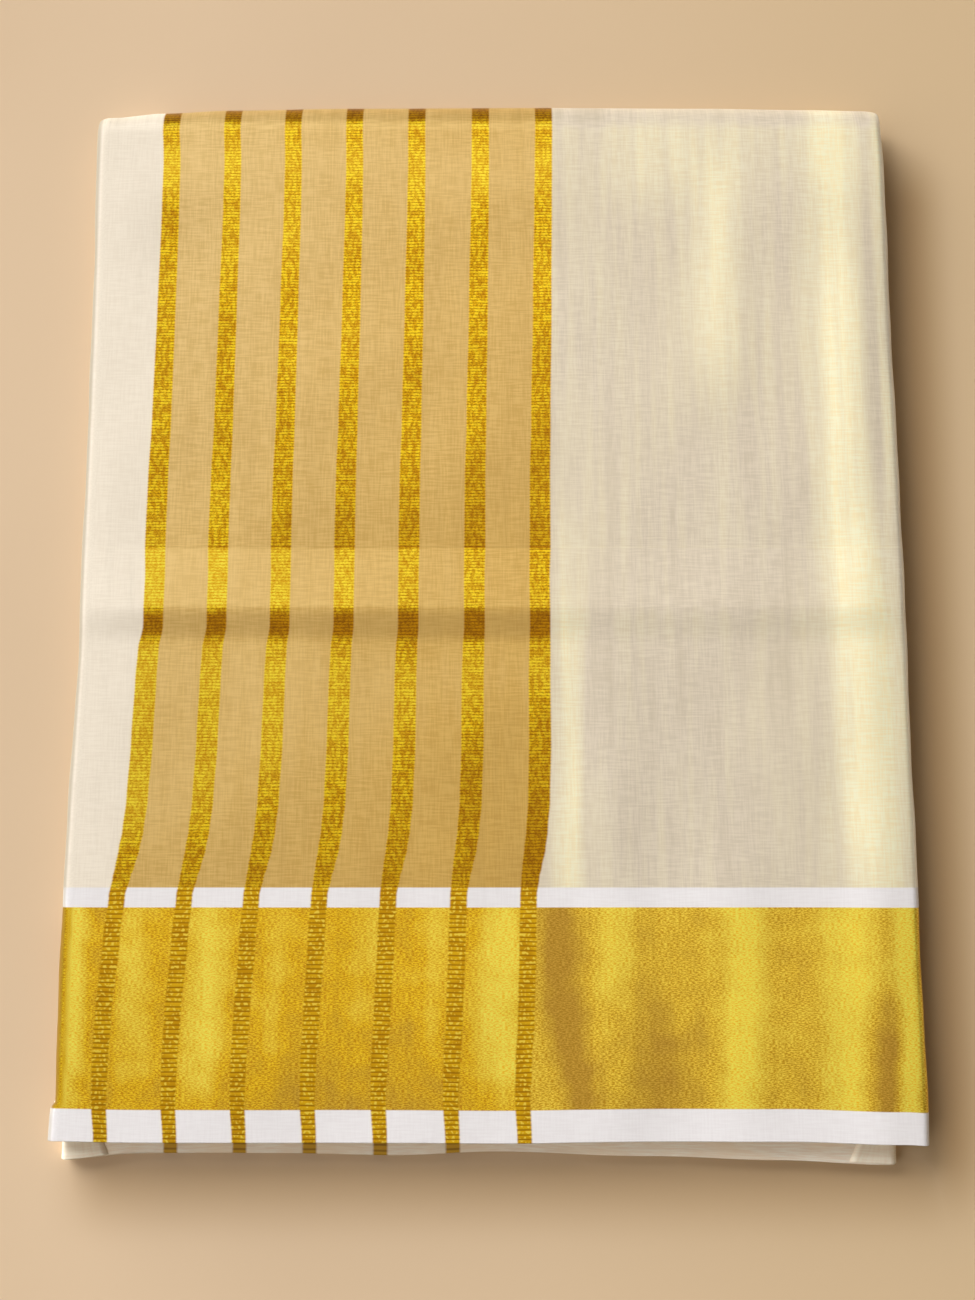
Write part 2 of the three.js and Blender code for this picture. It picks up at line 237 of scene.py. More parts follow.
# Flat lengths of the cloth from selvedge to selvedge
FOLD_HEIGHT = float(mid_height(FOLD_AXIS))
HALF_ROUND = math.pi * math.sqrt((FAR_REACH ** 2 + FOLD_HEIGHT ** 2) / 2)
UPPER_LENGTH = FOLD_AXIS - NEAR_MEAN["upper"]
CLOTH_WIDTH = UPPER_LENGTH + FOLD_AXIS - NEAR_MEAN["lower"] + HALF_ROUND


def crease_at(x, y):
    climb = np.where(
        y > CREASE["crest"],
        (CREASE["far_foot"] - y) / (CREASE["far_foot"] - CREASE["crest"]),
        smooth(y, CREASE["near_foot"], CREASE["crest"]),
    )
    inward = smooth(UPPER_SIDES["right"][0] - np.abs(x), 0, CREASE_SIDE_WIDTH)
    height = CREASE["side_height"] + (CREASE["height"] - CREASE["side_height"]) * inward
    return height * np.clip(climb, 0, 1)


def ridges_at(x, y):
    height = np.zeros(np.broadcast(x, y).shape)
    for ridge in FACE_RIDGES:
        across = np.clip((x - ridge["x"]) / ridge["width"], -1, 1)
        start = smooth(y, ridge["near"] - RIDGE_FADE / 2, ridge["near"] + RIDGE_FADE)
        end = 1 - smooth(y, ridge["far"] - RIDGE_FADE, ridge["far"])
        height += ridge["height"] * np.cos(across * math.pi / 2) ** 2 * start * end
    return height


def undulations_at(x, y):
    height = np.zeros(np.broadcast(x, y).shape)
    for wave in UNDULATIONS:
        turn = 2 * math.pi * (wave["across"] * x + wave["along"] * y) + wave["turn"]
        height += wave["height"] * (1 + np.cos(turn))
    inward = smooth(UPPER_SIDES["right"][0] - np.abs(x), 0, UNDULATION_SIDE_WIDTH)
    return height * inward * (1 - smooth(y, UNDULATION_FAR_END["start"], UNDULATION_FAR_END["end"]))


def relief_at(x, y):
    return crease_at(x, y) + ridges_at(x, y) + undulations_at(x, y)


def side_wave(y, lean):
    """Small waves of the side folds, not the same on the left as on the right."""
    offset = np.zeros(np.broadcast(y, lean).shape)
    for wave in SIDE_WAVES:
        turn = 2 * math.pi * wave["along"] * y + wave["turn"] + RIGHT_SIDE_TURN * lean
        offset += wave["height"] * np.sin(turn)
    return offset


class Run:
    """Rows along the cloth, from the upper near edge round the far fold to the lower one."""

    def __init__(self, upper_step, fold_rows, lower_step):
        upper = np.arange(NEAR_MEAN["upper"], FOLD_AXIS, upper_step)
        lines = np.array([CREASE["near_foot"], CREASE["crest"], CREASE["far_foot"]])
        marks = np.concatenate([lines, lines - LINE_HALF, lines + LINE_HALF])
        apart = np.abs(upper[:, None] - marks[None, :]).min(axis=1)
        upper = np.sort(np.concatenate([upper[apart > upper_step * 0.45], marks]))
        lower = np.arange(NEAR_MEAN["lower"], FOLD_AXIS, lower_step)[::-1]
        upper = np.insert(upper, 1, upper[0] + EDGE_ROW)
        lower = np.insert(lower, -1, lower[-1] + EDGE_ROW)
        fold = np.linspace(0, 1, fold_rows + 1)
        self.y = np.concatenate([upper, np.full(len(fold), FOLD_AXIS), lower])
        self.turned = np.concatenate([np.zeros(len(upper)), fold, np.ones(len(lower))])


class Strip:
    """Rows of a short strip at one bundle's near edge."""

    def __init__(self, bundle, depth, rows):
        y = NEAR_MEAN[bundle] + depth * np.linspace(0, 1, rows + 1) ** STRIP_CROWDING
        self.y = y if bundle == "upper" else y[::-1]
        self.turned = np.full(rows + 1, 0.0 if bundle == "upper" else 1.0)


def side_edges(run):
    upper = [eased(UPPER_SIDES, "y", run.y, side) for side in ("left", "right")]
    lower = [eased(LOWER_SIDES, "y", run.y, side) for side in ("left", "right")]
    return [a + (b - a) * run.turned for a, b in zip(upper, lower)]


class Section:
    """Stations across a bundle: lean runs from the left fold's centre to the right one's, and
    out_x, out_n is the outward normal, with n measured up from the middle plane."""

    def __init__(self, lean, angle, back=None):
        self.lean = np.asarray(lean, float)
        self.out_x = np.cos(angle)
        self.out_n = np.sin(angle)
        self.angle = np.asarray(angle, float)
        self.back = np.zeros(len(lean)) if back is None else np.asarray(back, float)


def open_section(columns, arc_steps, return_steps):
    """The outer cloth's section: left return, left fold, face, right fold, right return."""
    turn = math.pi / 2
    back = SIDE_RETURN - BUNDLE / 2
    left_back = np.linspace(back, 0, return_steps, endpoint=False)
    arc = np.linspace(0, math.pi, arc_steps + 1)
    face = np.linspace(0, 1, columns + 1)[1:-1]
    lean = np.concatenate([
        np.zeros(return_steps), np.zeros(arc_steps + 1), face,
        np.ones(arc_steps + 1), np.ones(return_steps),
    ])
    angle = np.concatenate([
        np.full(return_steps, -turn), -turn - arc, np.full(len(face), turn),
        turn - arc, np.full(return_steps, -turn),
    ])
    back_in = np.concatenate([
        left_back, np.zeros(2 * arc_steps + 2 + len(face)), -left_back[::-1],
    ])
    return Section(lean, angle, back_in)


def ring_section(columns, arc_steps):
    """A hidden layer's section, closed all round."""
    turn = math.pi / 2
    arc = np.linspace(0, math.pi, arc_steps + 1)
    face = np.linspace(0, 1, columns + 1)[1:-1]
    lean = np.concatenate([np.zeros(arc_steps + 1), face, np.ones(arc_steps + 1), face[::-1]])
    angle = np.concatenate([
        -turn - arc, np.full(len(face), turn), turn - arc, np.full(len(face), -turn),
    ])
    return Section(lean, angle)


def near_shift(run, section, x, setback):
    """How far a row at the near edge moves to lie on its wavy edge line; it fades inwards."""
    shift = np.zeros_like(x)
    for bundle, turned in (("upper", 0.0), ("lower", 1.0)):
        rows = run.turned == turned
        line = eased(NEAR_EDGES, "x", x[rows], bundle) + setback(x[rows], bundle, section.out_n)
        fade = 1 - smooth(run.y[rows], NEAR_MEAN[bundle], NEAR_MEAN[bundle] + EDGE_FADE)
        shift[rows] = (line - NEAR_MEAN[bundle]) * fade[:, None]
    return shift


def cloth_points(run, section, inset, setback):
    """Points of one face of a cloth, inset under the outer surface, as rows by stations."""
    left, right = side_edges(run)
    depth = mid_height(run.y) - PARTING
    radius = depth[:, None] / 2
    lean = section.lean[None, :]
    centre_left = left[:, None] + radius
    centre_right = right[:, None] - radius
    wider = 1 + np.interp(run.y, LIP_RETURN["y"], LIP_RETURN["wider"]) * (run.turned == 1)
    x = centre_left + (centre_right - centre_left) * lean + section.back[None, :] * wider[:, None]
    x = x + (radius - inset + side_wave(run.y[:, None], lean)) * section.out_x[None, :]
    y = run.y[:, None] + near_shift(run, section, x, setback)
    middle = mid_height(run.y)[:, None]
    turn = run.turned[:, None] * math.pi
    in_fold = (run.turned[:, None] > 0) & (run.turned[:, None] < 1)
    reach = FAR_REACH - eased(FAR_CORNERS, "x", x, "short")
    stretch = np.where(in_fold, reach / middle, 1.0)
    slim = np.hypot(stretch * np.sin(turn), np.cos(turn))
    out_n = section.out_n[None, :]
    from_middle = PARTING + radius + (radius - inset) * out_n + out_n * inset * (1 - 1 / slim)
    raised = (run.turned[:, None] == 0) * np.clip(out_n, 0, 1)
    from_middle = from_middle + raised * relief_at(x, y)
    squared = from_middle + CORNER_SQUARE * radius * (1 - np.abs(out_n))
    return np.stack([
        x,
        y + stretch * squared * np.sin(turn),
        middle + from_middle * np.cos(turn),
    ], axis=-1)


def weave_coordinates(run, section):
    """u along the saree and v from selvedge to selvedge, in millimetres of flat cloth."""
    left, right = side_edges(run)
    radius = (mid_height(run.y) - PARTING)[:, None] / 2
    centre_left = left[:, None] + radius
    centre_right = right[:, None] - radius
    lean = section.lean[None, :]
    u = centre_left + (centre_right - centre_left) * lean
    from_top = math.pi / 2 - section.angle[None, :]
    u = np.where(lean == 0, centre_left - radius * np.abs(from_top), u)
    u = np.where(lean == 1, centre_right + radius * np.abs(from_top), u)
    u = u - section.back[None, :]
    v = np.where(
        run.turned == 0,
        run.y - NEAR_MEAN["upper"],
        UPPER_LENGTH + HALF_ROUND * run.turned + FOLD_AXIS - run.y,
    )
    return u, np.broadcast_to(v[:, None], u.shape)


def painted_sheen_at(table, x, y, warp):
    """Painted sheen: painted highlight from soft columns, or painted shade where they are below 0."""
    sheen = np.zeros(np.broadcast(x, y).shape)
    for place, width, near, far, fade, amount, lean in table:
        long_wave = np.sin(y / LONG_WAVE + place)
        short_wave = np.sin(y / SHORT_WAVE + 2 * place)
        middle = place + lean * (y - near) / 100 + warp * (long_wave + 0.5 * short_wave)
        across = np.clip((x - middle) / width, -1, 1)
        ends = smooth(y, near - fade, near + fade), 1 - smooth(y, far - fade, far + fade)
        sheen += amount * np.cos(across * math.pi / 2) ** 2 * ends[0] * ends[1]
    return sheen


def rolled_at(run, lift, fall, tilts):
    """Painted light or painted shade on the rows that roll over the far fold, by how far they tip away.
    """
    turn = np.clip(run.turned, 0, 0.5) * math.pi
    tilt = np.degrees(np.arctan2(
        np.sin(turn) * (HALF_HEIGHT + FAR_SWELL / 2),
        FAR_REACH * np.cos(turn),
    ))
    roll = (lift - (lift + fall) * smooth(tilt, *tilts)) * (1 - smooth(run.turned, *ROLL_END))
    return np.where(run.turned > 0, roll, 0.0)[:, None]


def facing_at(run, x):
    """Painted highlight and painted shade on the zari, from how the cloth leans to the far or the near
    side, along the face and over the far fold, with a painted dark line at the crease.
    """
    y = np.broadcast_to(run.y[:, None], x.shape)
    slope = (relief_at(x, y + 1.0) - relief_at(x, y - 1.0)) / 2
    facing = np.clip(-slope * FACING_GAIN, *FACING_LIMITS)
    facing = facing + np.interp(y, FACE_PAINTED_LIGHT["y"], FACE_PAINTED_LIGHT["tone"])
    middle = (BAND_DRIFT["first"][0] + BAND_DRIFT["last"][0]) / 2
    aside = np.clip((middle - x) / LEAN_HALF, -1, 1)
    facing = facing + aside * np.interp(y, FACE_PAINTED_LIGHT["y"], FACE_PAINTED_LIGHT["lean"])
    line = np.clip(1 - np.abs(y - CREASE["far_foot"]) / LINE_HALF, 0, 1)
    facing = np.where(run.turned[:, None] == 0, facing - LINE_PAINTED_SHADE * line, 0.0)
    return facing + rolled_at(run, **PAINTED_ROLL_FACING)


def band_coordinates(run, u):
    """Band number, 0 to 6 at the bands' centres, and half a band's width in the same units."""
    first, last = (
        (eased(BAND_DRIFT, "y", run.y, end) + LIP_DRIFT[end] * (run.turned == 1))[:, None]
        for end in ("first", "last")
    )
    share = (u - first) / (last - first)
    inside = np.interp(share, BAND_PLACES, np.arange(BAND_COUNT))
    beyond = np.minimum(share, 0) + np.maximum(share - 1, 0)
    band = inside + beyond * (BAND_COUNT - 1)
    half = eased(BAND_DRIFT, "y", run.y, "half")[:, None] * (BAND_COUNT - 1) / (last - first)
    return band, np.broadcast_to(half, u.shape)


def grid_faces(rows, columns, start, closed, flipped):
    """Quads between the points of a grid, as indices."""
    spans = columns if closed else columns - 1
    r, c = np.meshgrid(np.arange(rows - 1), np.arange(spans), indexing="ij")
    after = (c + 1) % columns
    quads = np.stack([
        r * columns + c, r * columns + after, (r + 1) * columns + after, (r + 1) * columns + c,
    ], axis=-1).reshape(-1, 4)
    return start + (quads[:, ::-1] if flipped else quads)


def rim_faces(outer_line, inner_line, closed):
    """Quads that join an outer rim to the inner one under it."""
    outer_next, inner_next = np.roll(outer_line, -1), np.roll(inner_line, -1)
    quads = np.stack([outer_line, inner_line, inner_next, outer_next], axis=-1)
    return quads if closed else quads[:-1]


def shell(run, section, inset, thickness, setback, closed, start=0):
    """Points, faces, rim and coordinates of a thin shell of cloth, pressed thin at a return's end."""
    pressed = smooth(np.abs(section.back), PRESSED_FROM, SIDE_RETURN - BUNDLE / 2)[None, :]
    outer = cloth_points(run, section, inset + (thickness - PRESSED_EDGE) * pressed, setback)
    inner = cloth_points(run, section, inset + thickness, setback)
    rows, columns = outer.shape[:2]
    size = rows * columns
    ids = start + np.arange(size).reshape(rows, columns)
    faces = np.concatenate([
        grid_faces(rows, columns, start, closed, False),
        grid_faces(rows, columns, start + size, closed, True),
    ])
    if closed:
        rim = np.concatenate([
            rim_faces(ids[0], ids[0] + size, True),
            rim_faces(ids[-1][::-1], ids[-1][::-1] + size, True),
        ])
    else:
        edge = np.concatenate([ids[0], ids[1:, -1], ids[-1, -2::-1], ids[-2:0:-1, 0]])
        rim = rim_faces(edge, edge + size, True)
    points = np.concatenate([outer.reshape(-1, 3), inner.reshape(-1, 3)]) * MM
    return points, faces, rim, coordinates(run, section)


def coordinates(run, section):
    """Pairs of values that the materials read, for both faces of a shell."""
    u, v = weave_coordinates(run, section)
    y = run.y[:, None]
    pairs = {
        "weave": (u * MM, v * MM),
        "bands": band_coordinates(run, u),
        # The sheen pair is painted sheen; the facing pair is painted light and shade, and which way the
        # cloth faces sideways
        "sheen": (
            painted_sheen_at(TISSUE_PAINTED_SHEEN, u, y, TISSUE_WARP) + rolled_at(run, **PAINTED_ROLL_SHEEN),
            painted_sheen_at(BORDER_PAINTED_SHEEN, u, y, BORDER_WARP),
        ),
        "facing": (facing_at(run, u), np.broadcast_to(section.out_x[None, :], u.shape)),
    }
    return {
        name: np.tile(np.stack(pair, axis=-1).reshape(-1, 2), (2, 1)) for name, pair in pairs.items()
    }


def mesh_object(name, parts, material):
    """One mesh object from shells, smooth but for its rims, with the coordinates of its materials."""
    points = np.concatenate([part[0] for part in parts])
    faces = np.concatenate([part[1] for part in parts])
    rims = np.concatenate([part[2] for part in parts])
    mesh = bpy.data.meshes.new(name)
    mesh.from_pydata(points.tolist(), [], np.concatenate([faces, rims]).tolist())
    smooth_faces = np.arange(len(faces) + len(rims)) < len(faces)
    mesh.polygons.foreach_set("use_smooth", smooth_faces)
    corner = np.zeros(len(mesh.loops), np.int32)
    mesh.loops.foreach_get("vertex_index", corner)
    for layer_name in parts[0][3]:
        values = np.concatenate([part[3][layer_name] for part in parts])
        layer = mesh.uv_layers.new(name=layer_name)
        layer.data.foreach_set("uv", values[corner].astype(np.float32).ravel())
    mesh.materials.append(material)
    piece = bpy.data.objects.new(name, mesh)
    bpy.context.scene.collection.objects.link(piece)
    return piece


def colour(red, green, blue):
    """A screen colour, 0 to 255, as linear red, green, blue and alpha."""
    parts = []
    for value in (red, green, blue):
        share = value / 255
        parts.append(share / 12.92 if share <= 0.04045 else ((share + 0.055) / 1.055) ** 2.4)
    return (*parts, 1.0)


class Nodes:
    """Short calls for building a material's node tree."""

    def __init__(self, name):
        self.material = bpy.data.materials.new(name)
        self.material.use_nodes = True
        self.tree = self.material.node_tree
        self.shader = self.tree.nodes["Principled BSDF"]

    def add(self, kind, inputs=None, **settings):
        node = self.tree.nodes.new(kind)
        for key, value in settings.items():
            setattr(node, key, value)
        for key, value in (inputs or {}).items():
            self.feed(node.inputs[key], value)
        return node

    def feed(self, socket, value):
        if isinstance(value, bpy.types.NodeSocket):
            self.tree.links.new(value, socket)
        else:
            socket.default_value = value

    def math(self, operation, *values):
        node = self.add("ShaderNodeMath", operation=operation)
        for socket, value in zip(node.inputs, values):
            self.feed(socket, value)
        return node.outputs[0]

    def step(self, value, low, high, to_low=0.0, to_high=1.0):
        """Eases from to_low to to_high as the value goes from low to high."""
        node = self.add("ShaderNodeMapRange", {
            "Value": value, "From Min": low, "From Max": high, "To Min": to_low, "To Max": to_high,
        }, interpolation_type="SMOOTHSTEP")
        return node.outputs[0]

    def ramp(self, value, end):
        """Goes evenly from 0 at 0 to 1 at the end value."""
        node = self.add("ShaderNodeMapRange", {
            "Value": value, "From Min": 0.0, "From Max": end, "To Min": 0.0, "To Max": 1.0,
        })
        return node.outputs[0]

    def mix(self, share, first, second):
        """A colour between two colours."""
        node = self.add("ShaderNodeMix", {0: share, 6: first, 7: second}, data_type="RGBA")
        return node.outputs[2]

    def blend(self, share, first, second):
        """A number between two numbers."""
        node = self.add("ShaderNodeMix", {0: share, 2: first, 3: second}, data_type="FLOAT")
        return node.outputs[0]

    def plus(self, first, second):
        return self.math("ADD", first, second)

    def minus(self, first, second):
        return self.math("SUBTRACT", first, second)

    def times(self, first, second):
        return self.math("MULTIPLY", first, second)

    def span(self, name, value):
        return self.step(value, *SPANS[name])

    def threads_of(self, name, share):
        """Colour between the darker and the lighter threads of a part."""
        return self.mix(share, colour(*THREADS[name][0]), colour(*THREADS[name][1]))

    def toward(self, name, share, surface):
        """The surface, going over to a single tone."""
        return self.mix(share, surface, colour(*TONES[name]))

    def uv(self, name):
        node = self.add("ShaderNodeUVMap", uv_map=name)
        parts = self.add("ShaderNodeSeparateXYZ", {0: node.outputs[0]})
        return parts.outputs[0], parts.outputs[1]

    def noise(self, u, v, per_u, per_v, detail=2.0, roughness=0.5, seed=0.0):
        """Noise stretched over the weave; per_u and per_v are its sizes in metres."""
        place = self.add("ShaderNodeCombineXYZ", {
            0: self.math("MULTIPLY_ADD", u, 1 / per_u, 17.3 * seed),
            1: self.math("MULTIPLY_ADD", v, 1 / per_v, 9.7 * seed),
        })
        node = self.add("ShaderNodeTexNoise", {
            "Vector": place.outputs[0], "Scale": 1.0, "Detail": detail, "Roughness": roughness,
        }, noise_dimensions="2D")
        return node.outputs[0]

    def threads(self, along, pitch):
        """A rounded thread profile, 0 to 1, repeated at a pitch."""
        turn = self.math("MULTIPLY", along, math.pi / pitch)
        return self.math("ABSOLUTE", self.math("SINE", turn))


class WorldNodes(Nodes):
    """The same short calls for the light of the room."""

    def __init__(self, name):
        self.world = bpy.data.worlds.new(name)
        self.world.use_nodes = True
        self.tree = self.world.node_tree
        self.shader = self.tree.nodes["Background"]


# Threads of each part of the cloth, the darker and the lighter ones, as screen colours; some are
# painted highlight and painted shade on the tissue and the zari
THREADS = {
    "cream": ((217, 204, 184), (229, 216, 197)),
    "cream_lifted": ((255, 240, 194), (255, 251, 218)),
    "ivory": ((236, 223, 204), (243, 231, 213)),
    "tan_far": ((216, 182, 114), (234, 202, 138)),
    "tan_near": ((206, 164, 82), (222, 183, 100)),
    "cotton": ((233, 227, 227), (239, 234, 234)),
    "lip_cotton": ((248, 230, 204), (255, 244, 222)),
    "border": ((208, 154, 20), (252, 220, 76)),
    "border_by_bands": ((212, 148, 0), (252, 214, 38)),
    "border_lifted": ((252, 198, 34), (255, 241, 98)),
    "border_painted_shade": ((178, 132, 30), (210, 166, 62)),
    "band_ground": ((160, 96, 0), (156, 106, 0)),
    "band_ribs": ((250, 202, 22), (255, 222, 38)),
    "band_lifted": ((224, 158, 2), (255, 238, 74)),
    "band_painted_shade": ((130, 78, 0), (196, 138, 2)),
    "crossing_ribs": ((214, 160, 8), (236, 188, 22)),
    "layer": ((248, 230, 208), (255, 245, 228)),
    "layer_band": ((150, 108, 14), (196, 150, 36)),
    "floor": ((222, 193, 159), (227, 198, 164)),
}
# Single tones that those go over to; many are painted shade or painted light on the cloth, or painted
# shade on the floor
TONES = {
    "cream_drift": (226, 213, 186),
    "cream_painted_shade": (192, 178, 152),
    "ivory_facing_painted_shade": (212, 198, 176),
    "ivory_painted_shade": (190, 178, 158),
    "tan_lifted": (246, 214, 148),
    "tan_painted_shade": (184, 146, 78),
    "tissue_left_fold_painted_shade": (172, 161, 143),
    "tissue_right_fold_painted_light": (255, 250, 240),
    "cotton_left_fold_painted_shade": (180, 173, 164),
    "border_left_fold_painted_shade": (178, 140, 48),
    "crossing_ground": (174, 124, 4),
    "crossing_dots": (255, 226, 78),
    "layer_warm": (252, 228, 196),
    "floor_right_painted_shade": (212, 183, 144),
    "floor_painted_shadow": (186, 152, 110),
}
# Noise over the weave: its sizes along the saree and across it in metres, and a place of its own
WEAVE_NOISE = {
    "slub": {"per_u": 0.0120, "per_v": 0.0009, "detail": 1.0, "seed": 1.0},
    "warp_slub": {"per_u": 0.0009, "per_v": 0.0140, "detail": 1.0, "seed": 2.0},
    "streak": {"per_u": 0.0070, "per_v": 0.1100, "detail": 1.0, "seed": 6.0},
    "speck": {"per_u": 0.0016, "per_v": 0.00048, "detail": 1.0, "roughness": 0.7, "seed": 3.0},
    "drift": {"per_u": 0.09, "per_v": 0.16, "detail": 0.0, "seed": 5.0},
    "blotch": {"per_u": 0.016, "per_v": 0.014, "detail": 1.0, "seed": 11.0},
    "wander": {"per_u": 0.02, "per_v": 0.006, "detail": 0.0},
    "sparkle": {"per_u": 0.0013, "per_v": 0.0008, "detail": 1.0, "roughness": 0.7, "seed": 7.0},
    "mottle": {"per_u": 0.011, "per_v": 0.010, "detail": 1.0, "seed": 8.0},
    "glint": {"per_u": 0.0022, "per_v": 0.0045, "detail": 0.0, "seed": 13.0},
    "dots": {"per_u": 0.0017, "per_v": 0.0019, "detail": 0.0, "seed": 12.0},
    "layer_slub": {"per_u": 0.0120, "per_v": 0.0009, "seed": 1.0},
    "layer_drift": {"per_u": 0.05, "per_v": 0.02, "detail": 3.0, "seed": 9.0},
}
# Where each share goes from none to all, and for some how little and how much it is there
SPANS = {
    "light_thread": (0.3, 0.7),
    "light_cotton": (0.25, 0.75),
    "light_speck": (0.36, 0.64),
    "lifted_speck": (0.3, 0.6),
    "cream_drift": (0.35, 0.7, 0.0, 0.35),
    "ivory_facing_painted_shade": (0.0, -1.0, 0.0, 0.15),
    "left_fold_painted_shade": (-0.10, -0.60, 0.0, 0.96),
    "right_fold_painted_light": (0.15, 0.8, 0.0, 0.9),
    "tan_along": (0.56, 0.13, 0.0, 0.55),
    "tan_across": (0.0, BAND_COUNT - 1.0, 0.0, 0.45),
    "sparkle": (0.38, 0.62),
    "mottle": (0.30, 0.70),
    "glint": (0.35, 0.65),
    "rib_line": (0.10, 0.80),
    "rib_top": (0.3, 0.9),
    "band_rim": (0.03, 0.0),
    "in_band": (-0.016, 0.016),
    "past_first_band": (-0.05, 0.05),
    "before_first_band": (0.05, -0.05),
    "before_last_band": (BAND_COUNT - 0.95, BAND_COUNT - 1.05),
    "layer_warm": (0.4, 0.7, 0.0, 0.6),
    "layer_rib": (0.2, 0.8),
    "in_layer_band": (-0.02, 0.02),
}
# How much of one value is added to another
AMOUNTS = {
    "slub_in_grain": 0.55,
    "warp_slub_in_grain": 0.45,
    "streaks": 0.7,
    "blotch": 0.9,
    "grain_in_sheen": 0.22,
    "facing_in_sheen": -0.12,
    "streaks_in_border": 0.7,
    "blotch_in_bands": 0.3,
    "facing_in_tan": 0.33,
    "streaks_in_tan": 0.5,
    "sparkle_in_bands": 0.42,
    "rib_wander": 0.0009,
    "thread_relief": 0.3,
    "speck_relief": 1.6,
}
# Painted sheen and facing at which the cloth is wholly its painted highlight
FULL_PAINTED_HIGHLIGHT = {"cream": 1.1, "border": 1.0, "tan": 1.0, "bands": 0.9}
# The same below 0, at which it is wholly its painted shade
FULL_PAINTED_SHADE = {"cream": -1.0, "border": -1.0, "tan": -1.0, "bands": -0.9}
THREAD_PITCH = {"weft": 0.00055, "warp": 0.00060, "layer": 0.0006}
RIB_PITCH = {"field": 0.00178, "border": 0.0024, "layer": 0.0030}
ZONE_SOFTNESS = 0.0003
BUMP = {"Strength": 0.40, "Distance": 0.00010}


class ClothNodes(Nodes):
    """Nodes of a cloth's material, over its weave and band coordinates."""

    def __init__(self, name):
        super().__init__(name)
        self.u, self.v = self.uv("weave")
        self.band, self.half = self.uv("bands")

    def weave_noise(self, name):
        return self.noise(self.u, self.v, **WEAVE_NOISE[name])

    def band_margin(self, first, last):
        """How far a place lies inside the nearest of the bands numbered first to last."""
        nearest = self.math("MINIMUM", self.math("MAXIMUM", self.math("ROUND", self.band), first), last)
        return self.minus(self.half, self.math("ABSOLUTE", self.minus(self.band, nearest)))

    def finish(self, surface, metal, rough, height):
        bump = self.add("ShaderNodeBump", {**BUMP, "Height": height})
        self.feed(self.shader.inputs["Base Color"], surface)
        self.feed(self.shader.inputs["Metallic"], metal)
        self.feed(self.shader.inputs["Roughness"], rough)
        self.feed(self.shader.inputs["Normal"], bump.outputs[0])
        return self.material


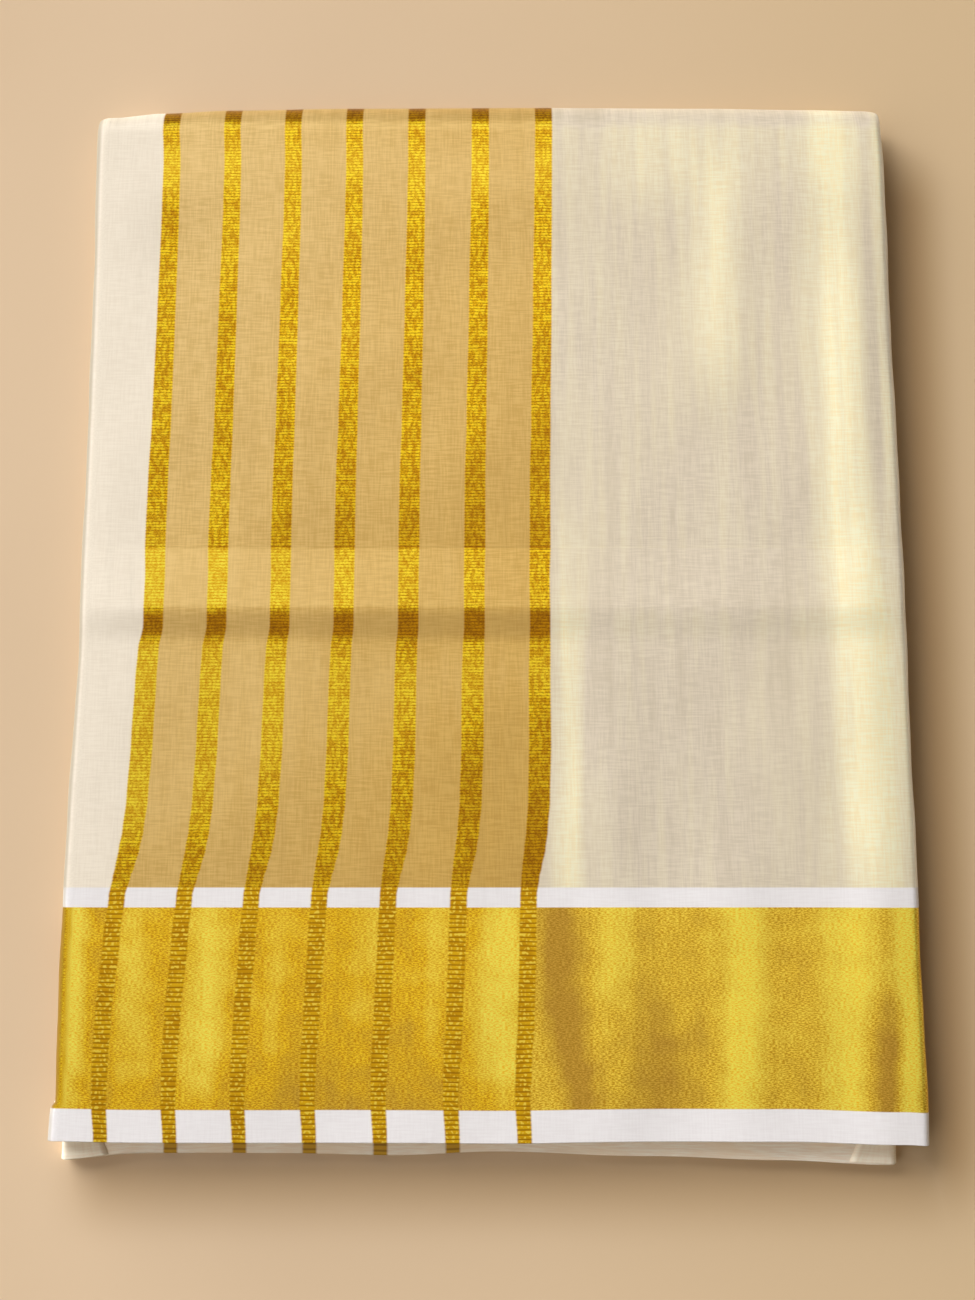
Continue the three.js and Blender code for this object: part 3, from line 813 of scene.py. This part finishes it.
class SareeNodes(ClothNodes):
    """Nodes of the outer cloth: tissue, bands, border and selvedges."""

    def __init__(self, name):
        super().__init__(name)
        self.find_zones()
        self.find_grain()
        self.find_light()

    def past(self, inward, width):
        """Whether a place lies further in than a width from its selvedge."""
        return self.step(inward, width * MM - ZONE_SOFTNESS, width * MM + ZONE_SOFTNESS)

    def find_zones(self):
        """Woven zones, from whichever selvedge is nearer, and the bands."""
        inward = self.math("MINIMUM", self.v, self.minus(CLOTH_WIDTH * MM, self.v))
        self.in_field = self.past(inward, WHITE_LINE_END)
        self.in_border = self.minus(self.past(inward, SELVEDGE_WIDTH), self.past(inward, BORDER_END))
        self.in_white = self.minus(self.minus(1.0, self.in_border), self.in_field)
        self.underneath = self.step(self.v, CLOTH_WIDTH * MM * 0.5, CLOTH_WIDTH * MM * 0.6)
        self.margin = self.band_margin(0.0, BAND_COUNT - 1.0)
        self.in_band = self.span("in_band", self.margin)
        self.before_last = self.span("before_last_band", self.band)
        self.between = self.times(self.span("past_first_band", self.band), self.before_last)
        self.before = self.span("before_first_band", self.band)

    def find_grain(self):
        """Slubs along the weft and the warp, specks of zari, and streaks and blotches that break up the
        painted sheen and shade.
        """
        slub = self.times(self.weave_noise("slub"), AMOUNTS["slub_in_grain"])
        warp_slub = self.times(self.weave_noise("warp_slub"), AMOUNTS["warp_slub_in_grain"])
        self.grain = self.plus(slub, warp_slub)
        self.light_thread = self.span("light_thread", self.grain)
        self.speck = self.weave_noise("speck")
        self.light_speck = self.span("light_speck", self.speck)
        self.streaks = self.centred(self.weave_noise("streak"), AMOUNTS["streaks"])
        self.blotch = self.centred(self.weave_noise("blotch"), AMOUNTS["blotch"])

    def find_light(self):
        """Painted highlight and painted shade of each part, and painted shade and painted light on the
        side folds.
        """
        tissue_painted_sheen, border_painted_sheen = self.uv("sheen")
        self.facing, sideways = self.uv("facing")
        streaked = self.plus(self.streaks, self.times(self.facing, AMOUNTS["facing_in_sheen"]))
        tissue_painted_sheen = self.plus(tissue_painted_sheen, streaked)
        tissue_painted_sheen = self.plus(tissue_painted_sheen, self.centred(self.grain, AMOUNTS["grain_in_sheen"]))
        mottled = self.plus(self.times(self.streaks, AMOUNTS["streaks_in_border"]), self.blotch)
        self.lifted, self.painted_shade = self.painted_light_on("cream", tissue_painted_sheen)
        self.border_lifted, self.border_painted_shade = self.painted_light_on("border", self.plus(border_painted_sheen, mottled))
        self.left_fold_painted_shade = self.span("left_fold_painted_shade", sideways)
        self.right_fold_painted_light = self.span("right_fold_painted_light", sideways)

    def centred(self, value, amount):
        return self.times(self.minus(value, 0.5), amount)

    def painted_light_on(self, part, value):
        """Shares of a part's painted highlight and of its painted shade."""
        return self.ramp(value, FULL_PAINTED_HIGHLIGHT[part]), self.ramp(value, FULL_PAINTED_SHADE[part])

    def tissue(self):
        """Cream tissue, ivory before the first band, and tan gold tissue between the bands, with
        painted highlight and shade.
        """
        cream = self.threads_of("cream", self.light_thread)
        drift = self.span("cream_drift", self.weave_noise("drift"))
        cream = self.toward("cream_drift", drift, cream)
        cream = self.mix(self.lifted, cream, self.threads_of("cream_lifted", self.light_thread))
        cream = self.toward("cream_painted_shade", self.painted_shade, cream)
        ivory = self.threads_of("ivory", self.light_thread)
        ivory = self.toward("ivory_facing_painted_shade", self.span("ivory_facing_painted_shade", self.facing), ivory)
        ivory = self.toward("ivory_painted_shade", self.times(self.painted_shade, self.painted_shade), ivory)
        field = self.mix(self.between, self.mix(self.before, cream, ivory), self.tan())
        field = self.toward("tissue_left_fold_painted_shade", self.left_fold_painted_shade, field)
        return self.toward("tissue_right_fold_painted_light", self.right_fold_painted_light, field)

    def tan(self):
        """Tissue between the bands, deeper towards the near edge and the last band, with painted
        highlight and shade.
        """
        deeper = self.plus(self.span("tan_along", self.v), self.span("tan_across", self.band))
        tan = self.mix(
            deeper,
            self.threads_of("tan_far", self.light_thread),
            self.threads_of("tan_near", self.light_thread),
        )
        streaked = self.times(self.streaks, AMOUNTS["streaks_in_tan"])
        facing = self.plus(self.times(self.facing, AMOUNTS["facing_in_tan"]), streaked)
        lifted, painted_shade = self.painted_light_on("tan", facing)
        return self.toward("tan_painted_shade", painted_shade, self.toward("tan_lifted", lifted, tan))

    def cotton(self):
        """White cotton of the selvedges and of the line past the border."""
        cotton = self.threads_of("cotton", self.span("light_cotton", self.grain))
        cotton = self.mix(self.underneath, cotton, self.threads_of("lip_cotton", self.light_thread))
        # Painted shade on the left fold, but not on the underside
        left_fold_painted_shade = self.times(self.left_fold_painted_shade, self.minus(1.0, self.underneath))
        return self.toward("cotton_left_fold_painted_shade", left_fold_painted_shade, cotton)

    def border(self):
        """The broad border of zari, with painted sheen columns and painted shade on its left fold."""
        gold = self.threads_of("border", self.light_speck)
        gold = self.mix(self.before_last, gold, self.threads_of("border_by_bands", self.light_speck))
        lifted = self.threads_of("border_lifted", self.span("lifted_speck", self.speck))
        gold = self.mix(self.border_lifted, gold, lifted)
        gold = self.mix(self.border_painted_shade, gold, self.threads_of("border_painted_shade", self.light_speck))
        return self.toward("border_left_fold_painted_shade", self.left_fold_painted_shade, gold)

    def bands(self):
        """The bands' zari and ribs: fine in the field, coarser where they cross the border, with
        painted glints, painted highlight and painted shade.
        """
        wander = self.times(self.weave_noise("wander"), AMOUNTS["rib_wander"])
        across = self.plus(self.v, wander)
        fine, coarse = (self.threads(across, RIB_PITCH[zone]) for zone in ("field", "border"))
        self.ribs = self.blend(self.in_field, coarse, fine)
        line = self.span("rib_line", self.ribs)
        sparkle, mottle, glint = (
            self.span(name, self.weave_noise(name)) for name in ("sparkle", "mottle", "glint")
        )

        # Sparkle and glint add painted glints to the zari
        bright = self.times(line, self.blend(glint, 0.34, 0.68))
        bright = self.plus(bright, self.times(sparkle, AMOUNTS["sparkle_in_bands"]))
        bright = self.times(bright, self.blend(mottle, 0.84, 1.16))
        bright = self.math("MAXIMUM", bright, self.times(self.span("band_rim", self.margin), line))
        gold = self.mix(
            bright, self.threads_of("band_ground", mottle), self.threads_of("band_ribs", glint),
        )
        facing = self.plus(self.facing, self.times(self.blotch, AMOUNTS["blotch_in_bands"]))
        lifted, painted_shade = self.painted_light_on("bands", facing)
        gold = self.mix(lifted, gold, self.threads_of("band_lifted", bright))
        gold = self.mix(painted_shade, gold, self.threads_of("band_painted_shade", bright))

        dots = self.step(self.weave_noise("dots"), self.blend(glint, 0.60, 0.44), 0.70)
        dots = self.times(self.span("rib_top", self.ribs), dots)
        ground = colour(*TONES["crossing_ground"])
        crossing = self.mix(line, ground, self.threads_of("crossing_ribs", mottle))
        return self.mix(self.in_field, self.toward("crossing_dots", dots, crossing), gold)

    def by_zone(self, white, cream, ivory, tan, border, band):
        """One number for each zone of the cloth."""
        value = self.blend(self.between, self.blend(self.before, cream, ivory), tan)
        value = self.blend(self.in_white, value, white)
        value = self.blend(self.in_border, value, border)
        return self.blend(self.in_band, value, band)

    def relief(self):
        """Threads, specks and the bands' ribs as fine relief."""
        weft = self.threads(self.v, THREAD_PITCH["weft"])
        warp = self.threads(self.u, THREAD_PITCH["warp"])
        plain = self.times(self.plus(weft, warp), AMOUNTS["thread_relief"])
        plain = self.blend(self.in_border, plain, self.times(self.speck, AMOUNTS["speck_relief"]))
        ribbed = self.times(self.ribs, self.blend(self.in_field, 1.6, 1.0))
        return self.blend(self.in_band, plain, ribbed)


def saree_material():
    """The woven cloth: cream tissue, gold tissue between the bands, bands, border and selvedges."""
    n = SareeNodes("tissue_and_zari")
    surface = n.mix(n.in_field, n.cotton(), n.tissue())
    surface = n.mix(n.in_border, surface, n.border())
    surface = n.mix(n.in_band, surface, n.bands())
    metal = n.by_zone(white=0.0, cream=0.35, ivory=0.12, tan=0.5, border=0.60, band=0.80)
    rough = n.by_zone(white=0.8, cream=0.46, ivory=0.46, tan=0.42, border=0.36, band=0.34)
    return n.finish(surface, metal, rough, n.relief())


def layer_material():
    """Edges of the hidden layers: cream tissue selvedges with the bands crossing them."""
    n = ClothNodes("layer_edges")
    grain = n.weave_noise("layer_slub")
    cream = n.threads_of("layer", n.span("light_thread", grain))
    cream = n.toward("layer_warm", n.span("layer_warm", n.weave_noise("layer_drift")), cream)
    in_band = n.span("in_layer_band", n.band_margin(1.0, BAND_COUNT - 2.0))
    ribs = n.threads(n.v, RIB_PITCH["layer"])
    surface = n.mix(in_band, cream, n.threads_of("layer_band", n.span("layer_rib", ribs)))
    metal = n.blend(in_band, 0.15, 0.45)
    rough = n.blend(in_band, 0.55, 0.42)
    height = n.plus(n.threads(n.u, THREAD_PITCH["layer"]), grain)
    return n.finish(surface, metal, rough, height)


saree_cloth = saree_material()
layer_cloth = layer_material()


# Outer cloth: one shell from the upper near selvedge over the far fold to the lip

def outer_setback(x, bundle, out_n):
    return np.full(x.shape, BACK_PANEL_SETBACK if bundle == "lower" else 0.0)


outer_run = Run(upper_step=3.2, fold_rows=26, lower_step=9.0)
outer_section = open_section(columns=140, arc_steps=12, return_steps=5)
outer = mesh_object(
    "outer_cloth",
    [shell(outer_run, outer_section, 0.0, SHEET, outer_setback, closed=False)],
    saree_cloth,
)
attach(outer, "root")
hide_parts("face_panel", "far_fold", "back_panel")

# Hidden layers: the turn of cloth next to the outer one, and the near edges of the turns inside it

WRAP_INSET = SHEET + 0.2
TURN_PITCH = 0.72
INNER_TURNS = 5
INNER_SHEET = SHEET * 0.9
STRIP_DEPTH = 38.0

# How far each turn's edge lies behind the edge line, and its waves along it
TURN_STEPS = (0.9, 1.7, 1.1, 2.4, 1.5, 3.0)
TURN_OFFSET = {"upper": 0.5, "lower": -0.4}
LEAST_SETBACK = 0.15
LOWER_SIDE_TURN = 1.7


def turn_setback(number):
    """An edge line of its own for each turn of cloth, above and below its middle."""
    def setback(x, bundle, out_n):
        side = np.where(out_n > 0, 0.0, LOWER_SIDE_TURN)[None, :]
        wave = 0.45 * np.sin(x / 74 + 1.9 + 1.3 * number + side)
        wave = wave + 0.22 * np.sin(x / 23 + 2.1 * number + 2 * side)
        step = TURN_STEPS[number] + TURN_OFFSET[bundle]
        return np.maximum(step + wave, LEAST_SETBACK)
    return setback


wrap_run = Run(upper_step=9.0, fold_rows=14, lower_step=9.0)
wrap = mesh_object(
    "layer_wrap",
    [shell(wrap_run, ring_section(70, 9), WRAP_INSET, SHEET, turn_setback(0), closed=True)],
    layer_cloth,
)
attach(wrap, "root")
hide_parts("hidden_layers")


def inner_turns(name, bundle):
    """Near edges of the turns of cloth inside one bundle, as short strips."""
    parts = []
    start = 0
    for number in range(1, INNER_TURNS + 1):
        inset = WRAP_INSET + number * TURN_PITCH
        section = ring_section(64, 6)
        part = shell(
            Strip(bundle, STRIP_DEPTH, 9), section, inset, INNER_SHEET, turn_setback(number),
            closed=True, start=start,
        )
        parts.append(part)
        start += len(part[0])
    piece = mesh_object(name, parts, layer_cloth)
    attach(piece, "root")
    return piece


inner_turns("upper_turns", "upper")
inner_turns("lower_turns", "lower")

# Floor, light and camera

PHOTO_HEIGHT = 1300
FOCAL_PIXELS = 1250
SENSOR_LONG_SIDE = 36.0
CAMERA_TILT = math.radians(8.0747)
CAMERA_PLACE = (-0.00104, -0.12296, 0.69993)
CLIP_START = 0.01

# Painted shade makes the floor darker to the right, and a painted warm shadow lies beside the cloth
# away
# from the light: where each starts and ends across and along the floor, in metres
FLOOR_PAINTED_FALLOFF = (-0.18, 0.34)
FLOOR_PAINTED_SHADOW = {
    "right": {
        "across": [(0.223, 0.249), (0.278, 0.248)],
        "along": [(0.29, 0.24), (-0.345, -0.285)],
    },
    "near": {
        "across": [(-0.24, -0.20), (0.265, 0.225)],
        "along": [(-0.294, -0.306, 0.0, 0.60), (-0.346, -0.308)],
    },
}
FLOOR_NOISE = {"Scale": 3.0, "Detail": 3.0}
FLOOR_ROUGHNESS = 0.9


def painted_shadow_patch(n, side, across, along):
    """Share of painted warm shadow on one side of the cloth."""
    shares = [n.step(across, *span) for span in FLOOR_PAINTED_SHADOW[side]["across"]]
    shares += [n.step(along, *span) for span in FLOOR_PAINTED_SHADOW[side]["along"]]
    return n.times(n.times(shares[0], shares[1]), n.times(shares[2], shares[3]))


def floor_material():
    n = Nodes("pale_floor")
    place = n.add("ShaderNodeTexCoord").outputs["Object"]
    tone = n.add("ShaderNodeTexNoise", {"Vector": place, **FLOOR_NOISE}).outputs[0]
    surface = n.threads_of("floor", n.span("light_thread", tone))
    across, along = n.add("ShaderNodeSeparateXYZ", {0: place}).outputs[:2]
    # Painted shade to the right, and painted shadow beside the cloth
    surface = n.toward("floor_right_painted_shade", n.step(across, *FLOOR_PAINTED_FALLOFF), surface)
    right, near = (painted_shadow_patch(n, side, across, along) for side in FLOOR_PAINTED_SHADOW)
    surface = n.toward("floor_painted_shadow", n.math("MAXIMUM", right, near), surface)
    n.feed(n.shader.inputs["Base Color"], surface)
    n.feed(n.shader.inputs["Roughness"], FLOOR_ROUGHNESS)
    return n.material


FLOOR_HALF = 4.0
FLOOR_DROP = 0.0003
floor_mesh = bpy.data.meshes.new("floor")
floor_mesh.from_pydata(
    [(x * FLOOR_HALF, y * FLOOR_HALF, -FLOOR_DROP) for x, y in ((-1, -1), (1, -1), (1, 1), (-1, 1))],
    [], [(0, 1, 2, 3)],
)
floor_mesh.materials.append(floor_material())
floor = bpy.data.objects.new("floor", floor_mesh)
bpy.context.scene.collection.objects.link(floor)


LAMP_COLOURS = {"cloth": (0.965, 0.985, 1.0), "sheen": (1.0, 0.92, 0.80)}


def glow(name, toward, strength, spread, seen_in):
    """Broad light from one side, that either lights the cloth or is only seen in its sheen."""
    data = bpy.data.lights.new(name, "SUN")
    data.angle = math.radians(spread)
    data.energy = strength
    data.color = LAMP_COLOURS[seen_in]
    lamp = bpy.data.objects.new(name, data)
    lamp.rotation_euler = Vector(toward).to_track_quat("Z", "Y").to_euler()
    lamp.visible_glossy = seen_in == "sheen"
    lamp.visible_diffuse = seen_in == "cloth"
    bpy.context.scene.collection.objects.link(lamp)


glow("far_window", toward=(-0.57, 0.70, 0.33), strength=5.15, spread=52, seen_in="cloth")
glow("left_window", toward=(-0.85, 0.00, 0.32), strength=2.25, spread=78, seen_in="cloth")
glow("overhead", toward=(0.00, 0.16, 0.98), strength=0.73, spread=74, seen_in="sheen")
glow("overhead_far", toward=(0.00, 0.64, 0.77), strength=0.26, spread=44, seen_in="sheen")


ROOM_COLOUR = (1.0, 0.86, 0.66, 1.0)
ROOM_LEVEL = (0.47, 0.17, 0.10, 0.62)


def room_light():
    """A dim even room with a pale band low down all round."""
    n = WorldNodes("soft_room")
    place = n.add("ShaderNodeTexCoord").outputs["Generated"]
    upward = n.add("ShaderNodeSeparateXYZ", {0: place}).outputs[2]
    level = n.step(upward, *ROOM_LEVEL)
    n.feed(n.shader.inputs["Color"], ROOM_COLOUR)
    n.feed(n.shader.inputs["Strength"], level)
    return n.world


bpy.context.scene.world = room_light()

camera_data = bpy.data.cameras.new("camera")
camera_data.sensor_width = SENSOR_LONG_SIDE
camera_data.lens = SENSOR_LONG_SIDE * FOCAL_PIXELS / PHOTO_HEIGHT
camera_data.clip_start = CLIP_START
camera = bpy.data.objects.new("camera", camera_data)
camera.location = CAMERA_PLACE
camera.rotation_euler = (CAMERA_TILT, 0, 0)
bpy.context.scene.collection.objects.link(camera)
bpy.context.scene.camera = camera
bpy.context.scene.view_settings.view_transform = "Standard"
